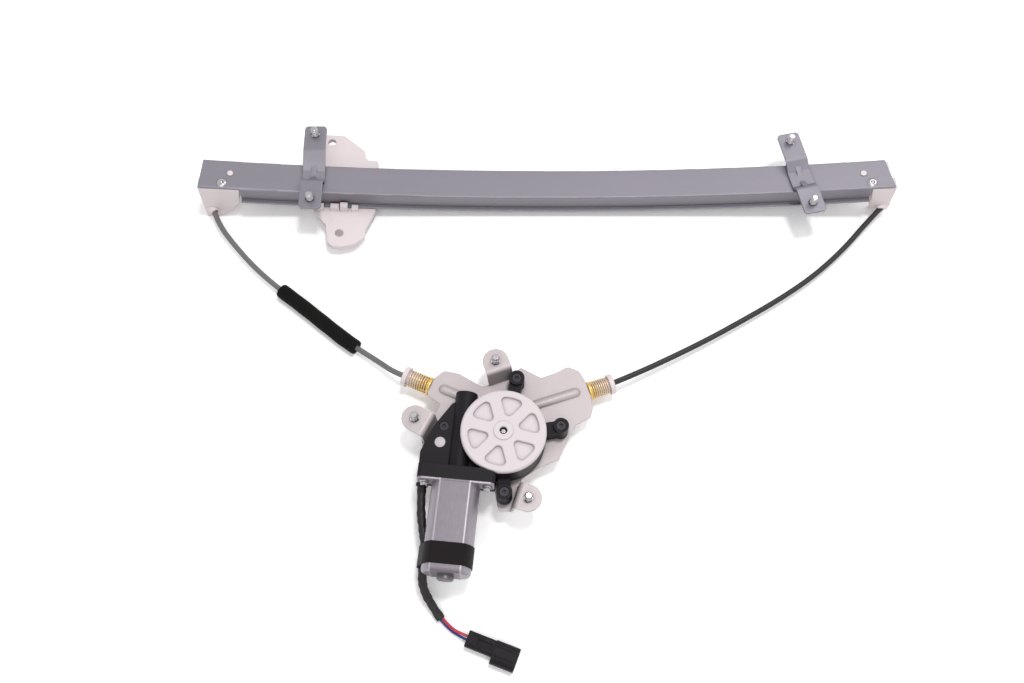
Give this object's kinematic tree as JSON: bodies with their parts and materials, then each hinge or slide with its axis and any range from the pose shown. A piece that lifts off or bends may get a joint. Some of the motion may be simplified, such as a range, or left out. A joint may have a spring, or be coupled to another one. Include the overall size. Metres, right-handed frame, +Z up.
{
  "type": "window regulator",
  "caption": "Single-rail cable window regulator with a bowed rail, sliding glass carrier, conduits, drum plate and worm-gear motor with a sealed plug.",
  "frame": {"origin": "centre of the regulator's outline at the surface it lies on, without the conduits, the lead and the plug", "axes": "+X along the rail, +Y from the drum to the rail, +Z up, the way the mounting studs point"},
  "size_m": [0.58, 0.4485, 0.049],
  "materials": {
    "rail_steel": "galvanised, satin",
    "plate_zinc": "zinc plated, satin",
    "bright_steel": "bright zinc",
    "cable_steel": "stranded wire",
    "motor_steel": "drawn, satin",
    "core_steel": "laminated",
    "black_steel": "black, satin",
    "terminal_tin": "tinned",
    "spring_zinc": "yellow zinc",
    "bronze": "sintered",
    "copper": "copper",
    "white_plastic": "moulded, satin",
    "cover_plastic": "moulded, satin",
    "drum_plastic": "moulded",
    "black_plastic": "moulded, matt",
    "vent_grey": "moulded",
    "grey_conduit": "ribbed sheath",
    "black_conduit": "ribbed sheath",
    "foam": "foam tube",
    "tape": "cloth tape",
    "red_wire": "insulation",
    "blue_wire": "insulation",
    "seal_rubber": "seal",
    "seal_black": "damper",
    "magnet": "ferrite",
    "carbon": "carbon"
  },
  "bodies": {
    "regulator": {"guide_rail": "rail_steel", "left_cable_guide": "white_plastic", "right_cable_guide": "white_plastic", "guide_rivets": "bright_steel", "left_rail_bracket": "rail_steel", "right_rail_bracket": "rail_steel", "bracket_studs": "bright_steel", "rail_cable": "cable_steel", "feed_cables": "cable_steel", "left_conduit": "grey_conduit", "right_conduit": "black_conduit", "foam_sleeve": "foam", "left_spring": "spring_zinc", "right_spring": "spring_zinc", "drum_plate": "plate_zinc", "plate_studs": "bright_steel", "drum_housing": "white_plastic", "gear_housing": "black_plastic", "gear_cover": "cover_plastic", "housing_screws": "black_steel", "vent_plug": "vent_grey", "motor_can": "motor_steel", "flange_screws": "bright_steel", "motor_magnets": "magnet", "brush_holder": "black_plastic", "brushes": "carbon", "front_bush": "bronze", "rear_bush": "bronze", "tape_band": "tape", "lead_sleeve": "tape", "red_wire": "red_wire", "blue_wire": "blue_wire", "plug_housing": "black_plastic", "plug_seal": "seal_rubber", "plug_terminals": "terminal_tin"},
    "armature": {"armature_core": "core_steel", "armature_shaft": "bright_steel", "worm": "bright_steel", "windings": "copper", "commutator": "copper"},
    "drum": {"cable_drum": "drum_plastic", "drum_cable": "cable_steel", "worm_wheel": "drum_plastic", "output_shaft": "bright_steel", "damper": "seal_black"},
    "carrier": {"window_carrier": "white_plastic", "cable_nipples": "bright_steel"},
    "left_ferrule_body": {"left_ferrule": "white_plastic"},
    "right_ferrule_body": {"right_ferrule": "white_plastic"}
  },
  "joints": [
    {"name": "armature_spin", "type": "hinge", "parent": "regulator", "child": "armature", "pos_m": [-0.06616, -0.08348, 0.034], "axis": [-0.0958, -0.9954, 0], "range_deg": [-9411.8, 82611.2]},
    {"name": "drum_spin", "type": "hinge", "parent": "regulator", "child": "drum", "pos_m": [-0.0353, -0.08645, 0], "axis": [0, 0, 1], "range_deg": [-128.93, 1131.66]},
    {"name": "carrier_travel", "type": "hinge", "parent": "regulator", "child": "carrier", "pos_m": [0, 0.1388, 2.3245], "axis": [0, -1, 0], "range_deg": [-1.12, 9.84]},
    {"name": "left_ferrule_slide", "type": "slide", "parent": "regulator", "child": "left_ferrule_body", "axis": [0.9171, -0.3987, 0], "range_m": [0, 0.003], "stiffness_N_per_m": 3000, "springref_m": -0.002, "deforming": ["left_spring"]},
    {"name": "right_ferrule_slide", "type": "slide", "parent": "regulator", "child": "right_ferrule_body", "axis": [-0.9494, -0.314, 0], "range_m": [0, 0.003], "stiffness_N_per_m": 3000, "springref_m": -0.002, "deforming": ["right_spring"]}
  ],
  "couplings": [
    {"joint": "drum_spin", "follows": "carrier_travel", "ratio": 115},
    {"joint": "armature_spin", "follows": "carrier_travel", "ratio": 8395}
  ]
}
